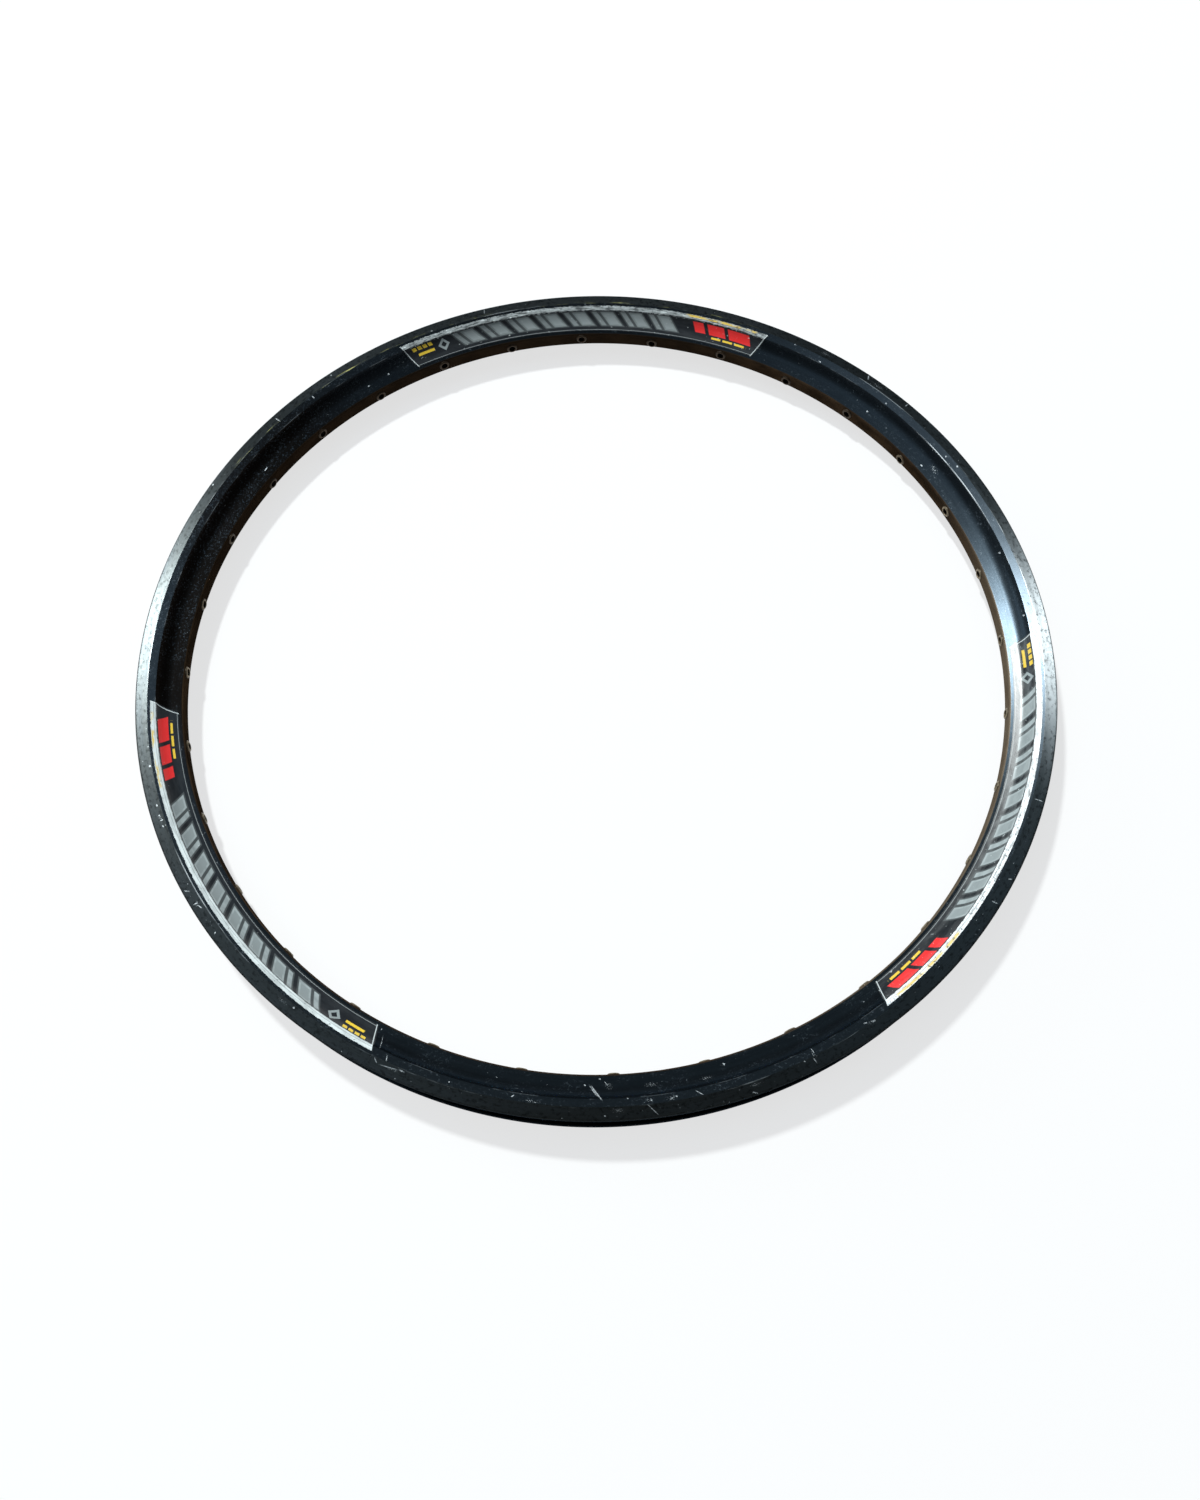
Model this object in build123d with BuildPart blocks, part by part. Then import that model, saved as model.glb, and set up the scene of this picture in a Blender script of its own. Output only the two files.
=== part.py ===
from build123d import *
import os
from math import cos, degrees, hypot, radians, sin, sqrt

os.makedirs("parts", exist_ok=True)

# Driving dimensions, in millimetres and degrees
# The wheel axis is +Z, the mid-plane of the rim is Z = 0 and the labelled side faces +Z

# Tyre side of the section
rim_width = 32.0
bead_seat_radius = 279.5
flange_height = 6.5
flange_wall = 1.5
hook_overhang = 0.8
hook_height = 2.8
tip_bevel = 0.8
seat_width = 3.4
well_run = 3.0
well_depth = 3.2

# Outer side of the section
track_height = 7.5
facet_height = 4.5
facet_inset = 1.7
box_height = 14.0
bed_width = 10.6
bed_round = 1.5
cove_depth = 2.0

# Walls around the hollow box
side_wall = 1.3
bed_wall = 2.0
bridge_wall = 1.2

# Drilling
spoke_count = 32
first_spoke_angle = -10.0
spoke_stagger = 0.8
access_hole_diameter = 9.0
valve_hole_diameter = 8.5
valve_after_spoke = 25
cut_margin = 1.0

# Eyelets
eyelet_bore_diameter = 4.5
eyelet_wall = 0.5
eyelet_crest_width = 0.75
eyelet_lip_width = 1.1
eyelet_lip_height = 0.9
eyelet_barrel_length = 3.2
eyelet_fit = 0.03

# Seam of the hoop and the sleeve inside it
seam_gap = 0.1
sleeve_length = 34.0
sleeve_clearance = 0.1

# Printed film labels
film_thickness = 0.2
film_clearance = 0.2
film_outer_margin = 1.6
film_inner_margin = 1.1
film_span = 56.5
film_end_slant = 1.35
film_centres = (90.9, 214.8, 332.8)

# Radii, half widths and angles that follow from the driving dimensions
half_width = rim_width / 2
flange_inside = half_width - flange_wall
seat_inside = flange_inside - seat_width
well_half_width = seat_inside - well_run
tip_radius = bead_seat_radius + flange_height
well_radius = bead_seat_radius - well_depth
bridge_radius = well_radius - bridge_wall
track_radius = tip_radius - track_height
facet_radius = track_radius - facet_height
facet_half_width = half_width - facet_inset
bed_radius = facet_radius - box_height
box_floor_radius = bed_radius + bed_wall
spoke_step = 360 / spoke_count
valve_angle = first_spoke_angle + (valve_after_spoke + 0.5) * spoke_step
seam_angle = valve_angle + 180

# Circle of the coved side wall, through the foot of the facet and the edge of the spoke bed
cove_run_r = facet_radius - bed_radius
cove_run_z = facet_half_width - bed_width / 2
cove_chord = hypot(cove_run_r, cove_run_z)
cove_radius = (cove_chord**2 / 4 + cove_depth**2) / (2 * cove_depth)
cove_centre_r = bed_radius + cove_run_r / 2 - (cove_radius - cove_depth) * cove_run_z / cove_chord
cove_centre_z = bed_width / 2 + cove_run_z / 2 + (cove_radius - cove_depth) * cove_run_r / cove_chord


def cove_point(r, depth=0.0):
    """The point of the cove at radius r, or the point at that radius a depth under its surface."""
    return (r, cove_centre_z - sqrt((cove_radius + depth) ** 2 - (r - cove_centre_r) ** 2))


def section_plane(angle):
    """The plane through the wheel axis at an angle, with X along the radius and Y up the axis."""
    return Plane(
        origin=(0, 0, 0),
        x_dir=(cos(radians(angle)), sin(radians(angle)), 0),
        z_dir=(sin(radians(angle)), -cos(radians(angle)), 0),
    )


def radial_plane(angle, radius, height=0.0):
    """The plane square to the radius at an angle, facing away from the wheel axis."""
    outward = Vector(cos(radians(angle)), sin(radians(angle)), 0)
    return Plane(origin=outward * radius + Vector(0, 0, height), x_dir=(0, 0, 1), z_dir=outward)


def spoke_planes(radius):
    """One radial plane per spoke hole; the holes stand to either side of the mid-plane in turn."""
    return [
        radial_plane(first_spoke_angle + k * spoke_step, radius, spoke_stagger * (-1) ** (k + 1))
        for k in range(spoke_count)
    ]


def draw_box(clearance=0.0):
    """Draws the outline of the hollow box, drawn in by a clearance, into the line being built."""
    floor = box_floor_radius + clearance
    shoulder = facet_radius - clearance
    roof = bridge_radius - clearance
    depth = side_wall + clearance
    side = ThreePointArc(
        cove_point(floor, depth),
        cove_point((floor + shoulder) / 2, depth),
        cove_point(shoulder, depth),
    )
    corner = Line(side @ 1, (roof, (side @ 1).Y))
    mirror((side, corner), about=Plane.XZ)
    for end in (side @ 0, corner @ 1):
        Line(end, (end.X, -end.Y))


def drill(planes, diameter, length):
    """Cuts round holes outward from the given planes in the part being built."""
    with Locations(*planes):
        Cylinder(
            diameter / 2,
            length,
            align=(Align.CENTER, Align.CENTER, Align.MIN),
            mode=Mode.SUBTRACT,
        )


# Hoop: the extruded section rolled round the axis, open by a hairline at the seam
seam_arc = degrees(seam_gap / bed_radius)
barrel_diameter = eyelet_bore_diameter + 2 * eyelet_wall
with BuildPart() as rim_hoop:
    with BuildSketch(section_plane(seam_angle + seam_arc / 2)) as section:
        with BuildLine():
            tyre_side = Polyline(
                (well_radius, well_half_width),
                (bead_seat_radius, seat_inside),
                (bead_seat_radius, flange_inside),
                (tip_radius - hook_height, flange_inside),
                (tip_radius - tip_bevel, flange_inside - hook_overhang),
                (tip_radius, flange_inside - hook_overhang + tip_bevel),
                (tip_radius, half_width - tip_bevel),
                (tip_radius - tip_bevel, half_width),
                (track_radius, half_width),
                (facet_radius, facet_half_width),
            )
            ThreePointArc(
                tyre_side @ 1,
                cove_point((facet_radius + bed_radius) / 2),
                (bed_radius, bed_width / 2),
            )
            mirror(about=Plane.XZ)
            Line((well_radius, well_half_width), (well_radius, -well_half_width))
            Line((bed_radius, bed_width / 2), (bed_radius, -bed_width / 2))
        make_face()
        fillet(section.vertices().group_by(Axis.X)[0], bed_round)
        with BuildLine():
            draw_box()
        make_face(mode=Mode.SUBTRACT)
    revolve(axis=Axis.Z, revolution_arc=360 - seam_arc)
    drill(
        spoke_planes(bed_radius - cut_margin),
        barrel_diameter + 2 * eyelet_fit,
        bed_wall + 2 * cut_margin,
    )
    drill(
        spoke_planes(bridge_radius - cut_margin),
        access_hole_diameter,
        bridge_wall + 2 * cut_margin,
    )
    drill(
        [radial_plane(valve_angle, bed_radius - cut_margin)],
        valve_hole_diameter,
        well_radius - bed_radius + 2 * cut_margin,
    )
rim_hoop.part.label = "rim_hoop"
export_step(rim_hoop.part, "parts/rim_hoop.step")

# Eyelets: a lip that stands on the spoke bed and a barrel that passes through it
lip_diameter = barrel_diameter + 2 * eyelet_lip_width
with BuildPart() as eyelet:
    with BuildSketch(Plane.XZ):
        with BuildLine():
            Polyline(
                (eyelet_bore_diameter / 2, -eyelet_lip_height),
                (eyelet_bore_diameter / 2 + eyelet_crest_width, -eyelet_lip_height),
                (lip_diameter / 2, 0),
                (barrel_diameter / 2, 0),
                (barrel_diameter / 2, eyelet_barrel_length),
                (eyelet_bore_diameter / 2, eyelet_barrel_length),
                close=True,
            )
        make_face()
    revolve(axis=Axis.Z)
with BuildPart() as eyelets:
    with Locations(*spoke_planes(sqrt(bed_radius**2 - (lip_diameter / 2) ** 2))):
        add(eyelet.part)
eyelets.part.label = "eyelets"
export_step(eyelets.part, "parts/eyelets.step")

# Joint sleeve: a plug inside the hollow box, half on each side of the seam
sleeve_arc = degrees(sleeve_length / box_floor_radius)
with BuildPart() as joint_sleeve:
    with BuildSketch(section_plane(seam_angle - sleeve_arc / 2)):
        with BuildLine():
            draw_box(sleeve_clearance)
        make_face()
    revolve(axis=Axis.Z, revolution_arc=sleeve_arc)
joint_sleeve.part.label = "joint_sleeve"
export_step(joint_sleeve.part, "parts/joint_sleeve.step")

# Labels: a thin film over the facet and the cove, with both ends cut on the slant
film_outer_radius = track_radius - film_outer_margin
film_inner_radius = bed_radius + bed_round + film_inner_margin
with BuildPart() as film:
    with BuildSketch(section_plane(-film_span / 2)):
        with BuildLine():
            over_facet = Line(
                (film_outer_radius, half_width - facet_inset * film_outer_margin / facet_height),
                (facet_radius, facet_half_width),
            )
            ThreePointArc(
                over_facet @ 1,
                cove_point((facet_radius + film_inner_radius) / 2),
                cove_point(film_inner_radius),
            )
            offset(amount=film_clearance, side=Side.RIGHT, closed=False, mode=Mode.REPLACE)
            offset(amount=film_thickness, side=Side.RIGHT)
        make_face()
    revolve(axis=Axis.Z, revolution_arc=film_span)
    for end in (-1, 1):
        outer = radial_plane(end * film_span / 2, film_outer_radius).origin
        inner = radial_plane(end * (film_span / 2 - film_end_slant), film_inner_radius).origin
        edge = inner - outer
        cut = Plane(origin=outer, x_dir=(0, 0, 1), z_dir=(-end * edge.Y, end * edge.X, 0))
        split(bisect_by=cut, keep=Keep.TOP)
with BuildPart() as decals:
    with Locations(*[Location((0, 0, 0), (0, 0, centre)) for centre in film_centres]):
        add(film.part)
decals.part.label = "decals"
export_step(decals.part, "parts/decals.step")
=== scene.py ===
from math import atan2, cos, degrees, hypot, pi, radians, sin, sqrt, tan

import bmesh
import bpy
from bpy.props import FloatProperty, FloatVectorProperty, IntProperty, PointerProperty
from mathutils import Matrix, Vector


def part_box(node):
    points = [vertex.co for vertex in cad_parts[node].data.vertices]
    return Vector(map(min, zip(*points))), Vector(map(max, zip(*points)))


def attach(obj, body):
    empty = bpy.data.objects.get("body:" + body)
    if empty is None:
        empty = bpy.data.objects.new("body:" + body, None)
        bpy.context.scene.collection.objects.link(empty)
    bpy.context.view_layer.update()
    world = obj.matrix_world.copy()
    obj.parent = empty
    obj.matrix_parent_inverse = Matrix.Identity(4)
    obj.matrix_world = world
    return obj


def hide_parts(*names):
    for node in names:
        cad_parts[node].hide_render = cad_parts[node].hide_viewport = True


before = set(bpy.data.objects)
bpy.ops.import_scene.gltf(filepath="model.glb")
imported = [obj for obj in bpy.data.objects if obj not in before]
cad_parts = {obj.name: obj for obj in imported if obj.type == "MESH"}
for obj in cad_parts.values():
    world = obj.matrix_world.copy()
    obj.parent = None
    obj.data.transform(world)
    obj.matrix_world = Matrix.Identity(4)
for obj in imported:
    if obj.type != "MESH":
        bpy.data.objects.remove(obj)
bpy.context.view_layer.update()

bl_info = {
    "name": "Bicycle Rim",
    "version": (1, 0, 0),
    "blender": (4, 5, 0),
    "location": "View3D > Sidebar > Rim",
    "description": "Dresses a used double-wall bicycle rim: hoop, eyelets, film labels and stage",
    "category": "Add Mesh",
}

HOOP_LOW, HOOP_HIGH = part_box("rim_hoop")
MM = 0.001


def length(name, description, millimetres):
    """A size that is kept in metres, with its default given in millimetres."""
    return FloatProperty(
        name=name, description=description, default=millimetres * MM, unit="LENGTH", precision=5
    )


def turn(name, description, angle):
    """An angle, with its default given in degrees."""
    return FloatProperty(
        name=name, description=description, default=radians(angle), subtype="ANGLE", unit="ROTATION"
    )


def colour(name, description, red, green, blue):
    """A colour of a finish."""
    return FloatVectorProperty(
        name=name, description=description, default=(red, green, blue), subtype="COLOR", min=0, max=1
    )


def direction(name, description, x, y, z):
    """A direction, as seen from the middle of the rim."""
    return FloatVectorProperty(name=name, description=description, default=(x, y, z), subtype="DIRECTION")


def power(name, description, watts):
    """The power of a lamp."""
    return FloatProperty(name=name, description=description, default=watts, unit="POWER")


# Sizes and colours that a user would change


class RimSection(bpy.types.PropertyGroup):
    """The section that is rolled into the hoop."""

    width: length("Width", "Overall width of the rim", round((HOOP_HIGH.z - HOOP_LOW.z) / MM, 1))
    tip_radius: length("Tip radius", "Radius at the tips of the flanges", round(HOOP_HIGH.x / MM, 1))
    flange_height: length("Flange height", "Height of the flanges over the bead seat", 6.5)
    flange_wall: length("Flange wall", "Thickness of the flanges", 1.5)
    hook_overhang: length("Hook overhang", "How far the hook leans over the bead", 0.8)
    hook_height: length("Hook height", "Height of the hook below the tip", 2.8)
    tip_bevel: length("Tip bevel", "Bevel at the tips of the flanges", 0.8)
    seat_width: length("Seat width", "Width of each bead seat", 3.4)
    well_run: length("Well run", "Width of the slope from the seat to the well", 3.0)
    well_depth: length("Well depth", "Depth of the well under the bead seat", 3.2)
    track_height: length("Track height", "Height of the flat outer band", 7.5)
    facet_height: length("Facet height", "Height of the slanted facet", 4.5)
    facet_inset: length("Facet inset", "How far the facet leans in", 1.7)
    box_height: length("Box height", "Height of the coved wall", 14.0)
    bed_width: length("Bed width", "Width of the spoke bed", 9.6)
    bed_round: length("Bed round", "Rounding at the edges of the spoke bed", 1.05)
    skirt_height: length("Skirt height", "Height of the straight foot of the coved wall", 6.2)
    skirt_angle: turn("Skirt angle", "Lean of the straight foot of the coved wall", 20.0)
    side_wall: length("Side wall", "Thickness of the coved wall", 1.3)
    bed_wall: length("Bed wall", "Thickness of the spoke bed", 2.0)
    bridge_wall: length("Bridge wall", "Thickness of the wall under the tyre", 1.2)


class RimDrilling(bpy.types.PropertyGroup):
    """Spoke holes, access holes, the valve hole and the eyelets."""

    spokes: IntProperty(name="Spokes", description="Number of spoke holes", default=32, min=8)
    first: turn("First spoke", "Angle of the first spoke hole", -10.0)
    stagger: length("Stagger", "Distance of the spoke holes from the mid-plane", 0.8)
    access: length("Access hole", "Diameter of the holes in the tyre well", 9.0)
    valve: length("Valve hole", "Diameter of the valve hole", 8.5)
    valve_after: IntProperty(name="Valve after", description="Spoke hole before the valve", default=25)
    bore: length("Eyelet bore", "Bore of an eyelet", 4.5)
    barrel_wall: length("Barrel wall", "Thickness of an eyelet's barrel", 0.5)
    barrel_length: length("Barrel length", "Length of an eyelet's barrel", 3.2)
    lip_width: length("Lip width", "How far an eyelet's lip stands out from its barrel", 1.1)
    lip_height: length("Lip height", "Height of an eyelet's lip over the bed", 0.9)
    crest: length("Crest", "Width of the top of an eyelet's lip", 0.75)


class RimLabels(bpy.types.PropertyGroup):
    """The film labels and their print."""

    centres: FloatVectorProperty(
        name="Centres",
        description="Angle of the middle of each label",
        size=3,
        default=(radians(90.9), radians(214.8), radians(332.8)),
        unit="ROTATION",
    )
    span: turn("Span", "Length of a label round the rim", 56.5)
    slant: turn("End slant", "How far the ends lean in towards the bed", 1.35)
    outer_margin: length("Outer margin", "Gap from the flat band to the film", 1.6)
    inner_margin: length("Inner margin", "Gap from the spoke bed to the film", 2.6)
    lift: length("Lift", "Glue under the film", 0.03)
    thickness: length("Thickness", "Thickness of the film", 0.1)
    field: colour("Field", "Black of the film", 0.016, 0.018, 0.021)
    silver: colour("Silver", "Pale stripe and border", 0.74, 0.79, 0.78)
    grey: colour("Grey", "Slanted grey bars", 0.36, 0.40, 0.40)
    red: colour("Red", "Slanted red bars", 0.80, 0.035, 0.035)
    yellow: colour("Yellow", "Small dashes", 0.82, 0.55, 0.05)


class RimFinish(bpy.types.PropertyGroup):
    """Colours of the metal."""

    black: colour("Black", "Anodised wall", 0.0148, 0.0197, 0.0243)
    track: colour("Track", "Brushed flat band", 0.0445, 0.0495, 0.0500)
    bare: colour("Bare", "Metal where the black is worn off", 0.70, 0.74, 0.76)
    scuff: colour("Scuff", "Greyed black", 0.055, 0.067, 0.079)
    # Painted reflection: the brown of the spoke bed stands for a brown floor mirrored in it; darker shares
    # of it tint the painted shade and grime on the wall and the eyelets
    brown_reflection: colour("Bed_reflection", "Brown film on the spoke bed", 0.048, 0.029, 0.016)
    dust: colour("Dust", "Pale dust on one part of the spoke bed", 0.155, 0.118, 0.082)
    residue: colour("Residue", "Old yellow glue along the edge", 0.50, 0.48, 0.18)
    brass: colour("Brass", "Eyelets", 0.27, 0.215, 0.140)


class RimStage(bpy.types.PropertyGroup):
    """Camera, light and floor."""

    lens: FloatProperty(name="Lens", description="Focal length", default=27.97, unit="CAMERA")
    elevation: turn("Elevation", "Camera angle over the floor", 66.905)
    roll: turn("Roll", "Camera roll", -1.138)
    distance: length("Distance", "Camera to its aim point", 719.75)
    aim: FloatVectorProperty(
        name="Aim",
        description="Point that the camera looks at",
        default=(0.001741, -0.064676, 0.0),
        subtype="XYZ",
        unit="LENGTH",
    )
    lamp_towards: direction("Lamp", "Direction of the lamp", -0.31, 0.445, 0.83)
    lamp_distance: length("Lamp distance", "Distance of the lamp", 7000.0)
    lamp_size: length("Lamp size", "Width of the lamp", 560.0)
    lamp_power: power("Lamp power", "Power of the lamp", 545.0)
    lamp_tint: colour("Lamp colour", "Colour of the lamp", 0.95, 1.0, 1.0)
    fill_towards: direction("Fill", "Direction of the fill light", -0.82, 0.47, 0.33)
    fill_distance: length("Fill distance", "Distance of the fill light", 4000.0)
    fill_size: length("Fill size", "Width of the fill light", 1600.0)
    fill_power: power("Fill power", "Power of the fill light", 24.0)
    fill_tint: colour("Fill colour", "Colour of the fill light", 0.75, 0.9, 1.0)
    floor: colour("Floor", "Pale floor", 0.88, 0.88, 0.88)
    floor_radius: length("Floor radius", "Radius of the floor", 9000.0)


class RimSettings(bpy.types.PropertyGroup):
    """Everything that can be set on the rim."""

    section: PointerProperty(type=RimSection)
    drilling: PointerProperty(type=RimDrilling)
    labels: PointerProperty(type=RimLabels)
    finish: PointerProperty(type=RimFinish)
    stage: PointerProperty(type=RimStage)


def radii(s):
    """Radii at the foot of the flat band, at the foot of the facet and at the spoke bed."""
    top = s.tip_radius - s.track_height
    foot = top - s.facet_height
    return top, foot, foot - s.box_height


# Shader building


class Field:
    """A number that changes over a surface. Python arithmetic on it adds Math nodes."""

    def __init__(self, finish, socket):
        self.finish = finish
        self.socket = socket

    def math(self, operation, *values):
        return self.finish.node("ShaderNodeMath", {"operation": operation}, values)

    def __add__(self, other):
        return self.math("ADD", self, other)

    def __radd__(self, other):
        return self.math("ADD", other, self)

    def __sub__(self, other):
        return self.math("SUBTRACT", self, other)

    def __rsub__(self, other):
        return self.math("SUBTRACT", other, self)

    def __mul__(self, other):
        return self.math("MULTIPLY", self, other)

    def __rmul__(self, other):
        return self.math("MULTIPLY", other, self)

    def __truediv__(self, other):
        return self.math("DIVIDE", self, other)

    def __rtruediv__(self, other):
        return self.math("DIVIDE", other, self)

    def __mod__(self, other):
        return self.math("FLOORED_MODULO", self, other)

    def __abs__(self):
        return self.math("ABSOLUTE", self)

    def __or__(self, other):
        return self.math("MAXIMUM", self, other)

    def __and__(self, other):
        return self.math("MINIMUM", self, other)


class Finish:
    """The nodes of one material or world."""

    def __init__(self, holder):
        holder.use_nodes = True
        self.holder = holder
        self.tree = holder.node_tree
        self.tree.nodes.clear()

    def node(self, kind, settings, inputs, output=0):
        """Adds a node, sets it and gives its sockets their values or links."""
        made = self.tree.nodes.new(kind)
        for key, value in settings.items():
            setattr(made, key, value)
        for socket, value in inputs.items() if isinstance(inputs, dict) else enumerate(inputs):
            if isinstance(value, Field):
                self.tree.links.new(value.socket, made.inputs[socket])
            else:
                made.inputs[socket].default_value = value
        return Field(self, made.outputs[output]) if made.outputs else None

    def ramp(self, value, low, high, start=0.0, end=1.0):
        """A smooth step from start to end as the value goes from low to high."""
        return self.node(
            "ShaderNodeMapRange",
            {"interpolation_type": "SMOOTHSTEP"},
            (value, low, high, start, end),
        )

    def band(self, value, low, high, soft):
        """1 where the value lies between low and high, with soft edges."""
        half = (high - low) / 2
        return self.ramp(abs(value - (low + half)), half - soft, half + soft, 1.0, 0.0)

    def blend(self, mask, under, over):
        """One colour laid over another through a mask."""
        under, over = (c if isinstance(c, Field) else (*c, 1.0) for c in (under, over))
        return self.node("ShaderNodeMix", {"data_type": "RGBA"}, {0: mask, 6: under, 7: over}, 2)

    def vector(self, x, y, z):
        return self.node("ShaderNodeCombineXYZ", {}, (x, y, z))

    def split(self, vector, count):
        """The first coordinates of a vector."""
        return [self.node("ShaderNodeSeparateXYZ", {}, (vector,), axis) for axis in range(count)]

    def noise(self, place, detail=3.0, roughness=0.55):
        return self.node(
            "ShaderNodeTexNoise",
            {},
            {"Vector": self.vector(*place), "Scale": 1.0, "Detail": detail, "Roughness": roughness},
        )

    def around(self):
        """Millimetres round the rim, from the axis and up, and the angle in degrees."""
        x, y, z = self.split(self.node("ShaderNodeTexCoord", {}, {}, "Object"), 3)
        square = x * x + y * y
        radius = square.math("POWER", square, 0.5) / MM
        angle = y.math("ARCTAN2", y, x) * (180 / pi)
        return angle * ARC, radius, z / MM, angle

    def mark(self, place, angle, radius, long, wide, tilt, edge=0.55):
        """An oval scratch or chip, at an angle round the rim and a radius."""
        angle = (angle + 180) % 360 - 180
        local = self.node(
            "ShaderNodeMapping",
            {"vector_type": "TEXTURE"},
            {
                "Vector": place,
                "Location": (angle * ARC, radius, 0),
                "Rotation": (0, 0, radians(tilt)),
                "Scale": (long / 2, wide / 2, 1000),
            },
        )
        reach = self.node("ShaderNodeVectorMath", {"operation": "LENGTH"}, (local,), "Value")
        return self.ramp(reach, edge, 1.0, 1.0, 0.0)

    def bumps(self, height, strength, distance):
        return self.node(
            "ShaderNodeBump", {}, {"Strength": strength, "Distance": distance, "Height": height}, "Normal"
        )

    def surface(self, constants, **varying):
        """Closes the material with one shader."""
        inputs = dict(constants)
        inputs.update({name.replace("_", " ").title(): value for name, value in varying.items()})
        shader = self.node("ShaderNodeBsdfPrincipled", {}, inputs)
        self.node("ShaderNodeOutputMaterial", {}, (shader,))
        return self.holder


def shade(tint, share):
    """A darker or lighter shade of a colour."""
    return [share * c for c in tint]


def union(masks):
    """Where any of the masks lies."""
    whole, *others = masks
    for mask in others:
        whole = whole | mask
    return whole


# Millimetres round the rim for each degree, at the middle of the wall
ARC = 275 * pi / 180

# Stretches of the rim whose wear differs, from one angle to another in degrees; some of them also carry
# painted shade or a painted highlight
RUBBED_HIGHLIT_TRACK = (-14.0, 13.0)
THIN_TRACK = (62.0, 136.0)
GLUED_TRACK = (66.0, 148.0)
BARE_RIDGE = (19.0, 36.0)
GREY_FACET = (4.0, 58.0)
CLEAN_UNSHADED_FACET = (155.0, 178.0)
FLECKED_WALL = (108.0, 186.0)
GRIMY_SHADED_WALL = (130.0, 196.0)
DUSTY_BED = (-62.0, 12.0)
SHADED_BED = (66.0, 176.0)
SHADED_EYELETS = (34.0, 168.0)

# Scratches and chips: angle, radius, length, width and tilt, in degrees and millimetres
TRACK_MARKS = (
    (275.3, 281.2, 10.0, 0.5, 50), (245.6, 280.6, 13.0, 0.5, -8), (243.9, 280.2, 4.0, 0.7, 40),
    (247.1, 279.6, 4.0, 0.9, 2), (140.1, 280.6, 5.5, 1.0, 86), (105.4, 283.0, 5.0, 0.7, 102),
    (46.8, 282.9, 4.6, 1.2, 58), (39.9, 283.2, 3.2, 1.0, 80), (322.8, 282.2, 4.4, 0.9, 82),
    (326.3, 283.2, 2.6, 0.8, 60), (213.1, 283.0, 4.0, 0.8, -50), (215.0, 282.5, 3.6, 0.9, 84),
    (215.6, 281.4, 4.2, 0.8, -20), (219.4, 282.6, 2.0, 0.7, 70), (195.8, 279.6, 1.7, 1.4, 0),
    (201.2, 280.5, 1.6, 1.1, 0), (202.6, 280.8, 1.3, 1.0, 0), (204.1, 280.6, 1.5, 1.1, 0),
    (203.3, 280.2, 0.8, 2.2, 0), (232.6, 280.0, 1.5, 1.5, 0), (113.7, 279.5, 1.7, 1.5, 0),
    (129.8, 283.2, 1.6, 1.4, 0), (153.4, 283.9, 1.5, 1.3, 0), (302.2, 278.8, 3.0, 1.4, 12),
    (293.0, 279.0, 1.3, 0.9, 20), (270.1, 283.0, 1.3, 0.7, 30), (286.6, 284.4, 3.5, 0.6, 35),
    (294.1, 280.8, 4.8, 0.5, 82),
    (-2.3, 282.8, 4.6, 1.2, 84), (1.3, 279.9, 2.6, 1.3, 30), (337.2, 282.0, 6.0, 0.5, 88),
)
WALL_MARKS = (
    (269.2, 270.6, 12.5, 1.15, 55), (268.8, 269.2, 9.0, 0.8, 55), (267.8, 266.0, 1.6, 0.9, 30),
    (269.6, 262.6, 1.5, 0.9, 20), (270.3, 265.0, 3.2, 0.5, 50), (275.3, 276.3, 1.9, 0.9, 60),
    (272.7, 274.4, 1.2, 0.8, 0), (277.6, 277.0, 2.2, 0.7, -30), (278.1, 276.2, 1.8, 0.8, 25),
    (280.7, 276.7, 5.6, 0.55, 42), (284.5, 264.3, 1.9, 1.2, 30), (294.4, 275.6, 3.8, 0.5, 84),
    (301.3, 277.2, 2.6, 0.8, 20), (243.2, 270.0, 9.0, 0.4, 66), (244.9, 276.8, 4.0, 0.45, 70),
    (252.5, 276.4, 1.2, 0.9, 0), (259.8, 276.0, 2.2, 0.7, -40), (13.7, 272.4, 2.0, 1.1, -20),
    (28.0, 277.6, 1.6, 1.4, 0), (30.2, 276.2, 1.3, 0.9, 0), (42.2, 275.0, 1.6, 1.2, 0),
    (43.8, 266.4, 1.9, 1.3, 0), (31.7, 263.8, 2.4, 1.0, 0), (54.0, 274.8, 2.4, 1.2, 0),
    (58.5, 278.0, 1.4, 1.0, 0), (134.0, 277.0, 1.3, 2.4, 0), (146.8, 266.0, 4.6, 0.9, -8),
    (122.4, 266.8, 1.8, 1.4, 0), (126.0, 266.0, 2.2, 1.2, 0), (3.6, 273.0, 1.6, 1.0, -30),
)
# Clusters of fine specks, listed in the same way
SPECK_PATCHES = (
    (277.6, 276.8, 13.0, 4.6, -8), (275.0, 276.6, 7.0, 3.6, 30), (271.6, 280.4, 14.0, 5.0, 0),
    (270.6, 266.5, 9.0, 7.0, 40), (275.6, 267.5, 15.0, 5.0, 0), (284.4, 264.8, 6.0, 3.0, 10),
    (282.0, 269.5, 12.0, 5.0, 0), (301.9, 278.6, 10.0, 3.6, 14), (294.3, 277.6, 8.0, 4.0, 70),
    (287.0, 280.5, 14.0, 4.0, 0), (246.2, 280.8, 16.0, 3.0, -6), (203.0, 280.8, 9.0, 4.0, 0),
    (215.2, 282.0, 8.0, 4.6, 0), (262.0, 277.4, 18.0, 3.0, 0), (231.0, 281.0, 14.0, 4.0, 0),
    (54.0, 282.2, 16.0, 5.0, 0), (45.0, 281.4, 20.0, 4.6, 0), (30.0, 268.0, 16.0, 6.0, 0),
)


def worn(finish, place, marks, rough):
    """Where the listed scratches and chips lie, with ragged edges."""
    mask = union(finish.mark(place, *mark) for mark in marks)
    return mask * finish.ramp(rough, 0.40, 0.58, 0.12, 1.0)


def speckled(finish, place, rough):
    """Where the clusters of fine specks lie."""
    mask = union(finish.mark(place, *patch, edge=0.1) for patch in SPECK_PATCHES)
    return finish.ramp(rough + mask * 0.13, 0.66, 0.74) * mask


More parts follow.
